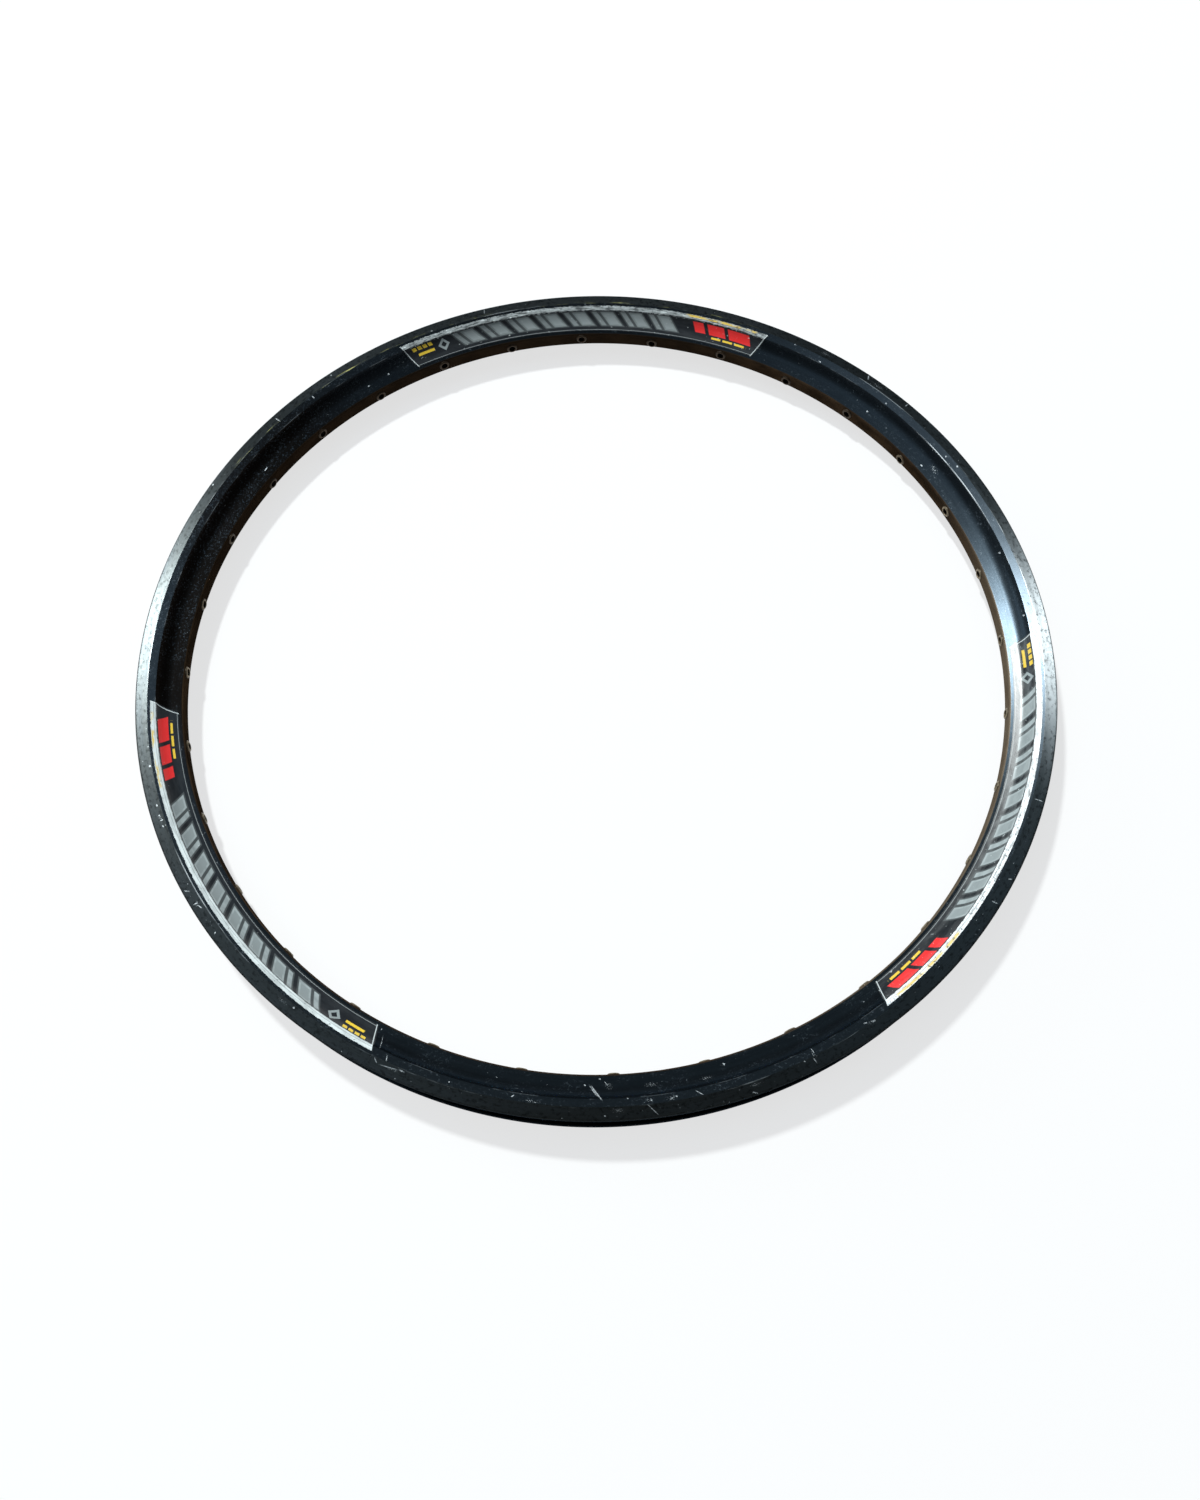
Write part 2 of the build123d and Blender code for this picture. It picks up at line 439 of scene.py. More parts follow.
def brushed_track(look, s):
    """The flat band on each side: turned metal under thin worn black."""
    f = Finish(bpy.data.materials.new("brushed track"))
    foot = radii(s)[0] / MM
    arc, radius, height, angle = f.around()
    place = f.vector(arc, radius, 0.0)
    fine = f.noise((arc * 0.012, radius * 2.6, 0.0), 4.0, 0.65)
    patches = f.noise((arc * 0.02, radius * 0.25, height * 0.05), 4.0, 0.6)
    specks = f.noise((arc * 0.55, radius * 0.8, height * 0.1), 3.0, 0.6)
    crumbs = f.noise((arc * 1.5, radius * 1.9, 7.0), 3.0, 0.65)
    grit = f.noise((arc * 0.34, radius * 0.5, height * 0.2), 5.0, 0.75)
    drips = f.noise((arc * 0.06, radius * 0.9, 3.0))
    upper = f.ramp(height, 0.0, 4.0)

    marks = worn(f, place, TRACK_MARKS, crumbs) * upper
    nicks = f.ramp(specks, 0.70, 0.76) * 0.6 | speckled(f, place, crumbs) * upper * 0.55
    pits = f.ramp(grit, 0.50, 0.64) * 0.7
    edge = f.band(radius, foot - 0.2, foot + 0.45, 0.2) * f.ramp(patches, 0.5, 0.62) * 0.4
    glue = f.band(radius, foot + 0.1, foot + 1.3, 0.4) * f.band(angle, *GLUED_TRACK, 4.0)
    glue = glue * f.ramp(drips, 0.55, 0.68) * upper
    # Painted highlight, partly real rubbing: the band is lighter towards bare metal on the right, where
    # the lamp's highlight falls
    rubbed_and_highlit = f.band(angle, *RUBBED_HIGHLIT_TRACK, 9.0) * f.ramp(patches, 0.2, 0.6, 0.7, 1.0) * upper
    thin = f.band(angle, *THIN_TRACK, 10.0) * upper
    bright = (marks * 0.75 | nicks | edge) & 1.0

    tone = f.blend(f.ramp(fine, 0.35, 0.65) * 0.5, look.track, shade(look.track, 0.6))
    tone = f.blend(f.ramp(patches, 0.4, 0.7) * 0.2, tone, look.scuff)
    tone = f.blend(rubbed_and_highlit * 0.26 + thin * 0.06, tone, look.bare)
    tone = f.blend(pits, tone, shade(look.track, 0.25))
    tone = f.blend(bright, tone, look.bare)
    tone = f.blend(glue, tone, look.residue)
    return f.surface(
        {
            "Anisotropic": 1.0,
            "Anisotropic Rotation": 0.25,
            "Specular IOR Level": 0.0,
            "Specular Tint": (0.2, 0.2, 0.2, 1.0),
        },
        base_color=tone,
        metallic=0.90 - (bright | glue) * 0.57,
        roughness=f.ramp(patches, 0.3, 0.7, 0.29, 0.33) + (bright | glue) * 0.25,
        normal=f.bumps(fine * 0.5 - marks * 0.6, 0.06, 0.0002),
    )


def black_wall(look, s):
    """Black anodised metal of the facet, the cove and the tyre side, with a painted brown reflection on
    the spoke bed.
    """
    f = Finish(bpy.data.materials.new("black alloy wall"))
    _, foot, floor = (r / MM for r in radii(s))
    side = s.width / MM / 2
    arc, radius, height, angle = f.around()
    turned = angle % 360.0
    place = f.vector(arc, radius, 0.0)
    grain = f.noise((arc * 0.03, radius * 1.8, height * 1.8), 3.0, 0.6)
    cloud = f.noise((arc * 0.05, radius * 0.12, height * 0.12), 3.0, 0.6)
    specks = f.noise((arc * 0.5, radius * 0.62, height * 0.62), 3.0, 0.62)
    threads = f.noise((arc * 0.9 + radius * 0.6, radius * 0.16, height * 0.3), 2.0, 0.5)
    crumbs = f.noise((arc * 1.5, radius * 1.9, 7.0), 3.0, 0.65)
    dots = f.noise((arc * 0.8, radius * 0.9, height * 0.9), 3.0, 0.65)
    upper = f.ramp(height, 2.0, 5.0)
    facet = f.ramp(radius, foot - 0.1, foot + 0.2) * f.ramp(height, side - 2.5, side - 1.8)
    bed = f.ramp(radius, floor + 0.5, floor + 1.2, 1.0, 0.0)

    marks = worn(f, place, WALL_MARKS, crumbs) * upper
    scuffs = f.ramp(specks, 0.52, 0.72) * (f.ramp(cloud, 0.42, 0.62) * 0.5 + facet * 0.25)
    nicks = f.ramp(specks, 0.72, 0.77) * 0.6 | speckled(f, place, crumbs) * upper * 0.5
    flecks = f.ramp(dots, 0.56, 0.70) * (f.band(angle, *FLECKED_WALL, 8.0) * 0.7 | 0.2) * upper
    hairs = f.band(threads, 0.495, 0.505, 0.006) * f.ramp(cloud, 0.5, 0.62) * 0.4
    scraped = f.band(angle, *BARE_RIDGE, 2.0) * f.ramp(grain, 0.42, 0.52) * 0.8
    ridge = f.band(radius, foot - 0.15, foot + 0.25, 0.14) * (f.ramp(cloud, 0.52, 0.62) * 0.10 + scraped)
    bright = (marks * 0.75 | nicks | ridge) & 1.0
    # Painted shade, partly grime: the upper wall is darker on the left, which damps its sheen there; part
    # of the facet is spared
    spared = facet * f.ramp(turned, *CLEAN_UNSHADED_FACET, 0.15, 0.80)
    grime_and_shade = f.band(turned, *GRIMY_SHADED_WALL, 12.0) * upper * (1.0 - spared)
    dust = f.band(angle, *DUSTY_BED, 18.0) * f.ramp(cloud, 0.2, 0.6, 0.45, 0.8)

    # Painted reflection on the spoke bed: brown for a mirrored brown floor, paler with dust on the right
    # and darker with painted shade on the far and left side
    brown_reflection = f.blend(f.ramp(cloud, 0.35, 0.65), look.brown_reflection, shade(look.brown_reflection, 0.5))
    brown_reflection = f.blend(dust, brown_reflection, look.dust)
    brown_reflection = f.blend(f.band(angle, *SHADED_BED, 12.0) * 0.7, brown_reflection, shade(look.brown_reflection, 0.3))
    tone = f.blend(f.ramp(grain, 0.3, 0.7) * 0.5, look.black, shade(look.black, 1.5))
    tone = f.blend(facet * (f.band(angle, *GREY_FACET, 8.0) * 0.28 + 0.12), tone, look.scuff)
    tone = f.blend(grime_and_shade * 0.88, tone, shade(look.brown_reflection, 0.13))
    tone = f.blend((scuffs + hairs | flecks) & 1.0, tone, look.scuff)
    tone = f.blend(bright, tone, look.bare)
    tone = f.blend(bed * 0.95, tone, brown_reflection)
    return f.surface(
        {
            "Anisotropic": 0.75,
            "Anisotropic Rotation": 0.25,
            "Specular IOR Level": 0.0,
            "Specular Tint": (0.12, 0.13, 0.15, 1.0),
        },
        base_color=tone,
        metallic=0.84 - (scuffs | bright | bed) * 0.5,
        roughness=f.ramp(cloud, 0.3, 0.7, 0.235, 0.265) + scuffs * 0.12 + bright * 0.35 + bed * 0.2,
        normal=f.bumps(grain * 0.25 + specks * 0.35 - marks * 0.7, 0.06, 0.0002),
    )


# Print of a label, in degrees along it from its first end and millimetres across it from its outer edge
FILM_HEIGHT = 17.0
STRIPE_ROWS = (0.2, 3.9)
GOLD_SPAN, GOLD_ROWS = (1.8, 12.6), (0.5, 2.1)
RED_BARS, RED_ROWS = ((3.2, 6.6), (7.2, 9.8), (10.4, 12.0)), (4.9, 11.6)
DASH_SPAN, DASH_ROWS, DASH_PITCH = (2.6, 8.2), (12.8, 14.2), 1.9
HATCH_START, HATCH_PITCH, HATCH_COUNT, HATCH_MIDDLE = 13.8, 4.3, 8, 9.6
GREY_BARS, GREY_ROWS = ((0.50, 2.45), (2.95, 3.70)), (4.7, 14.0)
GREY_EDGE, GREY_EDGE_ROWS = (0.25, 3.95), (4.0, 14.8)
GREY_CORE, GREY_CORE_ROWS = (0.80, 2.15), (5.8, 12.9)
DIAMOND = (50.0, 9.4)
TICK_SPAN, TICK_ROWS, TICK_PITCH = (51.6, 55.0), (4.9, 7.3), 0.85
LINE_SPAN, LINE_ROWS = (51.6, 54.2), (9.4, 11.2)

# The print map counts the labels, and holds degrees and millimetres in hundredths
PRINT_SCALE = 100.0
PRINT_START = 0.02


def film_print(labels):
    """Printed film: a black field, a pale stripe on the facet, slanted bars, dashes and a diamond."""
    f = Finish(bpy.data.materials.new("label film"))
    u, v = f.split(f.node("ShaderNodeUVMap", {"uv_map": "print"}, {}), 2)
    which = u.math("FLOOR", u)
    deg = (u - which) * PRINT_SCALE - PRINT_START * PRINT_SCALE
    mm = v * PRINT_SCALE
    lean = degrees(labels.slant) / FILM_HEIGHT
    from_first = deg - mm * lean
    from_last = degrees(labels.span) - deg - mm * lean
    inside = (from_first & from_last) * ARC
    specks = f.noise((u * 180.0, mm * 0.5, which * 7.0), 4.0, 0.62)
    smears = f.noise((u * 40.0, mm * 0.35, which * 5.0), 3.0, 0.6)
    tears = f.noise((u * 70.0, mm * 0.7, which * 3.0), 4.0, 0.6)

    # The first label is the oldest, and the last one is worn by rubbing and hazy, with a painted highlight
    # in its haze and its brighter stripe
    old = f.ramp(which, 0.2, 0.8, 1.0, 0.0)
    worn_and_highlit = f.ramp(which, 1.2, 1.8)

    def patch(along, span, rows, soft=0.06):
        """A printed patch between two places along the label and two across it."""
        return f.band(along, *span, soft) * f.band(mm, *rows, 0.15)

    lower_edge = f.band(mm, FILM_HEIGHT - 0.1, FILM_HEIGHT + 0.2, 0.1) * 0.5
    border = (f.band(inside, 0.35, 0.95, 0.12) | lower_edge) * f.ramp(inside, 0.2, 0.4)
    ragged = mm + (specks - 0.5) * (1.6 + old * 2.2)
    torn = f.ramp(tears, 0.40, 0.52, 0.75, 0.0) * (old | worn_and_highlit * f.ramp(deg, 8.0, 20.0, 0.2, 0.7))
    flakes = f.ramp(tears, 0.55, 0.66) * old
    groove = f.band(mm, 2.2, 2.5, 0.1) * 0.5
    stripe = f.band(ragged, *STRIPE_ROWS, 0.15) * (1.0 - torn) * (1.0 - groove) * f.ramp(inside, 0.3, 0.5)
    gold = f.band(mm, *GOLD_ROWS, 0.2) * f.band(deg, *GOLD_SPAN, 0.3) * f.ramp(smears, 0.4, 0.55)

    red = union(patch(deg + mm * 0.10, span, RED_ROWS) for span in RED_BARS)
    dashes = patch(deg, DASH_SPAN, DASH_ROWS) * f.ramp((deg - DASH_SPAN[0]) % DASH_PITCH, 0.30, 0.40)
    hatch = deg - HATCH_START + (mm - HATCH_MIDDLE) * 0.17
    step = hatch % HATCH_PITCH
    run = f.band(hatch, 0.1, HATCH_COUNT * HATCH_PITCH, 0.05)
    edge = patch(step, GREY_EDGE, GREY_EDGE_ROWS) * run
    grey = union(patch(step, span, GREY_ROWS) for span in GREY_BARS) * run
    core = f.band(step, *GREY_CORE, 0.06) * f.band(mm, *GREY_CORE_ROWS, 0.2)
    reach = abs(deg - DIAMOND[0]) * ARC + abs(mm - DIAMOND[1])
    diamond = f.ramp(reach, 4.2, 4.5, 1.0, 0.0) - f.ramp(reach, 2.0, 2.3, 1.0, 0.0)
    ticks = patch(deg, TICK_SPAN, TICK_ROWS, 0.05) * f.ramp((deg + mm * 0.06) % TICK_PITCH, 0.2, 0.26)
    line = patch(deg, LINE_SPAN, LINE_ROWS, 0.05)

    dim = (1.0 - f.ramp(smears, 0.35, 0.7) * 0.35) * (1.0 - old * 0.45)
    chips = f.ramp(specks + worn_and_highlit * 0.07 + old * 0.06, 0.62, 0.68) * f.ramp(mm, 5.0, 1.0) * 0.8
    rubs = f.ramp(specks + (worn_and_highlit | old) * 0.03, 0.67, 0.75) * 0.6
    # Painted highlight, partly real scuffing: a pale haze that grows along the last label, and a brighter
    # stripe on it
    haze_and_highlight = f.ramp(smears, 0.35, 0.65) * (0.01 + worn_and_highlit * f.ramp(deg, 10.0, 36.0, 0.01, 0.08))
    pale = f.blend(worn_and_highlit, labels.silver, (0.93, 0.95, 0.95))
    tone = f.blend(edge * 0.5, labels.field, shade(labels.grey, 0.33))
    tone = f.blend(grey * dim, tone, labels.grey)
    tone = f.blend(grey * core, tone, shade(labels.grey, 0.72))
    tone = f.blend((diamond & 1.0) * 0.8, tone, labels.grey)
    tone = f.blend(stripe * (dim | worn_and_highlit | flakes), tone, pale)
    tone = f.blend(gold * 0.8, tone, labels.yellow)
    tone = f.blend(border * 0.75, tone, labels.silver)
    tone = f.blend(red, tone, labels.red)
    tone = f.blend(dashes | ticks | line, tone, labels.yellow)
    tone = f.blend(chips, tone, shade(labels.field, 1.6))
    tone = f.blend(rubs, tone, labels.silver)
    tone = f.blend(haze_and_highlight, tone, labels.silver)
    return f.surface(
        {"IOR": 1.46, "Specular IOR Level": 0.25},
        base_color=tone,
        roughness=f.ramp(smears, 0.3, 0.7, 0.20, 0.27) + rubs * 0.2,
        normal=f.bumps(specks - chips * 0.8, 0.10, 0.00015),
    )


def tarnished_brass(look, s):
    """Eyelets: dull brass, with painted shade down in the bore and on the far side."""
    f = Finish(bpy.data.materials.new("tarnished brass"))
    floor = radii(s)[2] / MM
    arc, radius, height, angle = f.around()
    stain = f.noise((arc * 0.8, radius * 0.9, height * 0.9), 4.0, 0.6)
    # Painted shade: darker down in the bore, and on the far and left side, away from the lamp
    bore_shade = f.ramp(radius, floor - 1.0, floor + 0.2)
    far_shade = f.band(angle, *SHADED_EYELETS, 18.0)
    tone = f.blend(f.ramp(stain, 0.4, 0.65), look.brass, shade(look.brass, 0.45))
    tone = f.blend(far_shade * 0.92, tone, shade(look.brown_reflection, 0.7))
    tone = f.blend(bore_shade * 0.9, tone, shade(look.brown_reflection, 0.35))
    return f.surface(
        {"Specular IOR Level": 0.2},
        base_color=tone,
        metallic=0.5 - bore_shade * 0.3,
        roughness=f.ramp(stain, 0.3, 0.7, 0.28, 0.42),
        normal=f.bumps(stain, 0.15, 0.0002),
    )


def plain_alloy():
    """The sleeve inside the hoop: extruded metal with die lines."""
    f = Finish(bpy.data.materials.new("plain alloy"))
    arc, radius, height, _ = f.around()
    lines = f.noise((arc * 0.02, radius * 2.0, height * 2.0))
    return f.surface(
        {},
        base_color=f.blend(lines, (0.62, 0.63, 0.64), (0.46, 0.47, 0.48)),
        metallic=f.ramp(lines, 0.2, 0.8, 0.95, 1.0),
        roughness=f.ramp(lines, 0.3, 0.7, 0.3, 0.45),
    )


# Geometry

# Steps round the hoop, a film, an eyelet and a hole, and down the cove of the hoop, its lining and a film
HOOP_STEPS, FILM_STEPS, EYELET_STEPS, HOLE_STEPS = 384, 96, 32, 40
COVE_STEPS, LINING_STEPS, FILM_COVE_STEPS = 14, 8, 12

# Angle in degrees past which an edge of the hoop, an eyelet or a film is shaded sharp
HOOP_SHARP, EYELET_SHARP, FILM_SHARP = 32, 50, 24

# Distance within which vertices are merged
WELD = 1e-7


def cove_arc(s):
    """Centre (r, z) and radius of the cove, which runs from the facet into the straight skirt."""
    knee_r, knee_z = on_skirt(s, s.skirt_height)
    rise_r = s.box_height - s.skirt_height
    rise_z = s.width / 2 - s.facet_inset - knee_z
    radius = (rise_r**2 + rise_z**2) / (2 * (rise_z * cos(s.skirt_angle) - rise_r * sin(s.skirt_angle)))
    return knee_r - radius * sin(s.skirt_angle), knee_z + radius * cos(s.skirt_angle), radius


def on_skirt(s, height, depth=0.0):
    """The point of the skirt at a height over the bed, or the point a depth under it."""
    bed_r = radii(s)[2]
    return bed_r + height, s.bed_width / 2 + height * tan(s.skirt_angle) - depth / cos(s.skirt_angle)


def outline():
    """An empty bmesh for a section, whose vertices say how far their rounding reaches."""
    bm = bmesh.new()
    bm.verts.layers.float.new("rounding")
    return bm


def corner(bm, r, z, rounding=0.0):
    """A corner of a section in the XZ plane, with how far its rounding reaches along its edges."""
    vert = bm.verts.new((r, 0, z))
    vert[bm.verts.layers.float["rounding"]] = rounding
    return vert


def join(bm, verts):
    for a, b in zip(verts, verts[1:]):
        bm.edges.new((a, b))


def verts_in(geom):
    return [item for item in geom if isinstance(item, bmesh.types.BMVert)]


def arc_to(bm, vert, s, end, steps):
    """Carries a vertex along the cove's circle as far as the end point."""
    centre_r, centre_z, _ = cove_arc(s)
    sweep = atan2(end[1] - centre_z, end[0] - centre_r) - atan2(vert.co.z - centre_z, vert.co.x - centre_r)
    swept = bmesh.ops.spin(
        bm,
        geom=[vert],
        cent=(centre_r, 0, centre_z),
        axis=(0, -1, 0),
        angle=sweep,
        steps=steps,
        use_duplicate=False,
    )
    return verts_in(swept["geom_last"])[0]


def lathe(bm, segments, steps):
    """Rounds the corners of a closed section and spins it once round the axis."""
    layer = bm.verts.layers.float["rounding"]
    bmesh.ops.contextual_create(bm, geom=bm.edges[:])
    for reach in sorted({round(v[layer], 6) for v in bm.verts if v[layer] > 0}):
        bmesh.ops.bevel(
            bm,
            geom=[v for v in bm.verts if abs(v[layer] - reach) < 1e-6],
            offset=reach,
            offset_type="OFFSET",
            segments=segments,
            profile=0.5,
            affect="VERTICES",
            material=-1,
        )
    bmesh.ops.delete(bm, geom=bm.faces[:], context="FACES_ONLY")
    bmesh.ops.spin(
        bm,
        geom=bm.verts[:] + bm.edges[:],
        cent=(0, 0, 0),
        axis=(0, 0, 1),
        angle=2 * pi,
        steps=steps,
        use_merge=True,
        use_duplicate=False,
    )
    bmesh.ops.remove_doubles(bm, verts=bm.verts[:], dist=WELD)
    bmesh.ops.recalc_face_normals(bm, faces=bm.faces[:])


def rolled(half, s):
    """Closes a half section over the mid-plane and rolls it round the axis."""
    bm = outline()
    half(bm, s)
    bmesh.ops.mirror(
        bm,
        geom=bm.verts[:] + bm.edges[:],
        matrix=Matrix.Identity(4),
        merge_dist=WELD,
        axis="Z",
    )
    lathe(bm, segments=4, steps=HOOP_STEPS)
    return bm


def skin(bm, s):
    """Draws the outside of the hoop, from the tyre well over the flange and the wall to the spoke bed."""
    top_r, foot_r, bed_r = radii(s)
    half_width = s.width / 2
    inside = half_width - s.flange_wall
    seat_r = s.tip_radius - s.flange_height
    well_r = seat_r - s.well_depth
    # Plain corners beside a rounded one keep the flats flat
    hold, tip_hold = 0.5 * MM, 0.7 * MM
    run = [
        corner(bm, well_r, 0),
        corner(bm, well_r, inside - s.seat_width - s.well_run, 0.9 * MM),
        corner(bm, seat_r, inside - s.seat_width, 0.7 * MM),
        corner(bm, seat_r, inside, 0.5 * MM),
        corner(bm, s.tip_radius - s.hook_height, inside, 0.4 * MM),
        corner(bm, s.tip_radius - s.tip_bevel, inside - s.hook_overhang, 0.35 * MM),
        corner(bm, s.tip_radius, inside - s.hook_overhang + s.tip_bevel, 0.4 * MM),
        corner(bm, s.tip_radius, half_width - s.tip_bevel, 0.35 * MM),
        corner(bm, s.tip_radius - s.tip_bevel, half_width, 0.35 * MM),
        corner(bm, s.tip_radius - s.tip_bevel - tip_hold, half_width),
        corner(bm, top_r + hold, half_width),
        corner(bm, top_r, half_width, 0.22 * MM),
        corner(bm, top_r - 0.1 * s.facet_height, half_width - 0.1 * s.facet_inset),
        corner(bm, foot_r, half_width - s.facet_inset),
    ]
    join(bm, run)
    tail = [
        arc_to(bm, run[-1], s, on_skirt(s, s.skirt_height), COVE_STEPS),
        corner(bm, *on_skirt(s, s.bed_round + hold)),
        corner(bm, bed_r, s.bed_width / 2, s.bed_round),
        corner(bm, bed_r, s.bed_width / 2 - s.bed_round - hold),
        corner(bm, bed_r, 0),
    ]
    join(bm, tail)


def hollow(bm, s):
    """Draws the inside of the box, from the wall under the tyre to the spoke bed."""
    _, foot_r, bed_r = radii(s)
    bridge_r = s.tip_radius - s.flange_height - s.well_depth - s.bridge_wall
    centre_r, centre_z, radius = cove_arc(s)
    shoulder_z = centre_z - sqrt((radius + s.side_wall) ** 2 - (foot_r - centre_r) ** 2)
    knee = on_skirt(s, s.skirt_height + s.side_wall * sin(s.skirt_angle), s.side_wall)
    run = [
        corner(bm, bridge_r, 0),
        corner(bm, bridge_r, shoulder_z),
        corner(bm, foot_r, shoulder_z),
    ]
    join(bm, run)
    tail = [
        arc_to(bm, run[-1], s, knee, LINING_STEPS),
        corner(bm, *on_skirt(s, s.bed_wall, s.side_wall)),
        corner(bm, bed_r + s.bed_wall, 0),
    ]
    join(bm, tail)


def film_sheet(s, labels, middle):
    """One film over the facet and the cove, cut on the slant at both ends."""
    top_r, foot_r, bed_r = radii(s)
    outer_r = top_r - labels.outer_margin
    inner_r = bed_r + labels.inner_margin
    bm = outline()
    outer = corner(bm, outer_r, s.width / 2 - s.facet_inset * labels.outer_margin / s.facet_height)
    foot = corner(bm, foot_r, s.width / 2 - s.facet_inset)
    join(bm, [outer, foot])
    knee = arc_to(bm, foot, s, on_skirt(s, s.skirt_height), FILM_COVE_STEPS)
    join(bm, [knee, corner(bm, *on_skirt(s, labels.inner_margin))])
    bmesh.ops.translate(bm, verts=bm.verts[:], vec=(-labels.lift, 0, labels.lift))
    to_start = Matrix.Rotation(middle - labels.span / 2, 3, "Z")
    bmesh.ops.rotate(bm, verts=bm.verts[:], cent=(0, 0, 0), matrix=to_start)
    bmesh.ops.spin(
        bm,
        geom=bm.verts[:] + bm.edges[:],
        cent=(0, 0, 0),
        axis=(0, 0, 1),
        angle=labels.span,
        steps=FILM_STEPS,
        use_duplicate=False,
    )
    for side in (-1, 1):
        far = radial(middle + side * labels.span / 2, outer_r).translation
        near = radial(middle + side * (labels.span / 2 - labels.slant), inner_r).translation
        bmesh.ops.bisect_plane(
            bm,
            geom=bm.verts[:] + bm.edges[:] + bm.faces[:],
            plane_co=far,
            plane_no=(near - far).cross(Vector((0, 0, 1))) * side,
            clear_outer=True,
        )
    bmesh.ops.recalc_face_normals(bm, faces=bm.faces[:])
    if sum(face.normal.z for face in bm.faces) < 0:
        bmesh.ops.reverse_faces(bm, faces=bm.faces[:])
    bmesh.ops.solidify(bm, geom=bm.faces[:], thickness=-labels.thickness)
    return bm


def map_print(bm, s, labels, index, middle):
    """Maps the print on a film: its number and degrees along it, and millimetres across it."""
    top_r, foot_r, _ = radii(s)
    centre_r, centre_z, radius = cove_arc(s)
    knee_r = on_skirt(s, s.skirt_height)[0]
    outer_r = top_r - labels.outer_margin
    slope = hypot(s.facet_height, s.facet_inset) / s.facet_height
    start = atan2(s.width / 2 - s.facet_inset - centre_z, foot_r - centre_r)
    half_span, skirt_cos = labels.span / 2, cos(s.skirt_angle)

    def across(co):
        """Millimetres over the film from its outer edge."""
        r = hypot(co.x, co.y)
        on_facet = outer_r - max(r, foot_r)
        at = max(min(r, foot_r), knee_r)
        on_arc = start + atan2(sqrt(radius**2 - (at - centre_r) ** 2), at - centre_r)
        on_foot = knee_r - min(r, knee_r)
        return (on_facet * slope + radius * on_arc + on_foot / skirt_cos) / MM

    layer = bm.loops.layers.uv.new("print")
    for face in bm.faces:
        for loop in face.loops:
            co = loop.vert.co
            angle = (atan2(co.y, co.x) - middle + pi) % (2 * pi) - pi + half_span
            along = index + PRINT_START + degrees(angle) / PRINT_SCALE
            loop[layer].uv = (along, across(co) / PRINT_SCALE)


def radial(angle, radius, height=0.0):
    """The placement whose Z points away from the axis at an angle."""
    away = Vector((cos(angle), sin(angle), 0))
    up = Vector((0, 0, 1))
    side = away.cross(up)
    turned = Matrix((up, side, away)).transposed().to_4x4()
    return Matrix.Translation(away * radius + up * height) @ turned


def spoke_places(d, radius):
    """One placement for each spoke hole, in turn below and above the mid-plane."""
    step = 2 * pi / d.spokes
    return [radial(d.first + k * step, radius, d.stagger * (-1) ** (k + 1)) for k in range(d.spokes)]


def drill(bm, places, diameter, depth):
    """Adds round cutters that run outward from the given places."""
    for place in places:
        bmesh.ops.create_cone(
            bm,
            cap_ends=True,
            segments=HOLE_STEPS,
            radius1=diameter / 2,
            radius2=diameter / 2,
            depth=depth,
            matrix=place @ Matrix.Translation((0, 0, depth / 2)),
        )


def holes(s, d):
    """Cutters for the spoke holes, the access holes over them and the valve hole."""
    bed_r = radii(s)[2]
    well_r = s.tip_radius - s.flange_height - s.well_depth
    bridge_r = well_r - s.bridge_wall
    margin, fit = 1.0 * MM, 0.06 * MM
    spoke_hole = d.bore + 2 * d.barrel_wall + fit
    valve_angle = d.first + (d.valve_after + 0.5) * 2 * pi / d.spokes
    bm = bmesh.new()
    drill(bm, spoke_places(d, bed_r - margin), spoke_hole, s.bed_wall + 2 * margin)
    drill(bm, spoke_places(d, bridge_r - margin), d.access, s.bridge_wall + 2 * margin)
    drill(bm, [radial(valve_angle, bed_r - margin)], d.valve, well_r - bed_r + 2 * margin)
    return bm


def pour(source, target):
    """Moves what is in one bmesh into another."""
    mesh = bpy.data.meshes.new("poured")
    source.to_mesh(mesh)
    source.free()
    target.from_mesh(mesh)
    bpy.data.meshes.remove(mesh)


def new_object(name, bm):
    """Makes an object at the origin from a bmesh and links it to the scene."""
    mesh = bpy.data.meshes.new(name)
    bm.to_mesh(mesh)
    bm.free()
    made = bpy.data.objects.new(name, mesh)
    bpy.context.scene.collection.objects.link(made)
    return made


def cut_away(piece, cutters):
    """Cuts a bmesh of closed cutters out of a piece."""
    tool = new_object("cutters", cutters)
    cut = piece.modifiers.new("Holes", "BOOLEAN")
    cut.object = tool
    cut.operation = "DIFFERENCE"
    cut.solver = "EXACT"
    drilled = bpy.data.meshes.new_from_object(piece.evaluated_get(bpy.context.evaluated_depsgraph_get()))
    piece.modifiers.clear()
    plain, piece.data = piece.data, drilled
    bpy.data.meshes.remove(plain)
    bpy.data.meshes.remove(tool.data)
    piece.data.name = piece.name


def settle(piece, node, slot_name, sharp, *materials):
    """Gives a piece its materials and sharp edges and lets it stand for its node of the frame."""
    for material in materials:
        piece.data.materials.append(material)
    piece.data.polygons.foreach_set("use_smooth", [True] * len(piece.data.polygons))
    piece.data.set_sharp_from_angle(angle=radians(sharp))
    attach(piece, "root")
    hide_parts(node)


# Operators


class RIM_OT_hoop(bpy.types.Operator):
    """Rolls the section into the hoop and drills it"""

    bl_idname = "rim.hoop"
    bl_label = "Hoop"

    def execute(self, context):
        rim = context.scene.rim
        s, look = rim.section, rim.finish
        bm = rolled(skin, s)
        lining = rolled(hollow, s)
        bmesh.ops.reverse_faces(lining, faces=lining.faces[:])
        pour(lining, bm)
        band_r = radii(s)[0] - 0.1 * MM
        band_z = s.width / 2 - 0.6 * MM
        for face in bm.faces:
            middle = face.calc_center_median()
            on_band = hypot(middle.x, middle.y) > band_r and abs(middle.z) > band_z
            face.material_index = 1 if on_band else 0
        piece = new_object("hoop", bm)
        cut_away(piece, holes(s, rim.drilling))
        settle(piece, "rim_hoop", "black_alloy", HOOP_SHARP, black_wall(look, s), brushed_track(look, s))
        return {"FINISHED"}


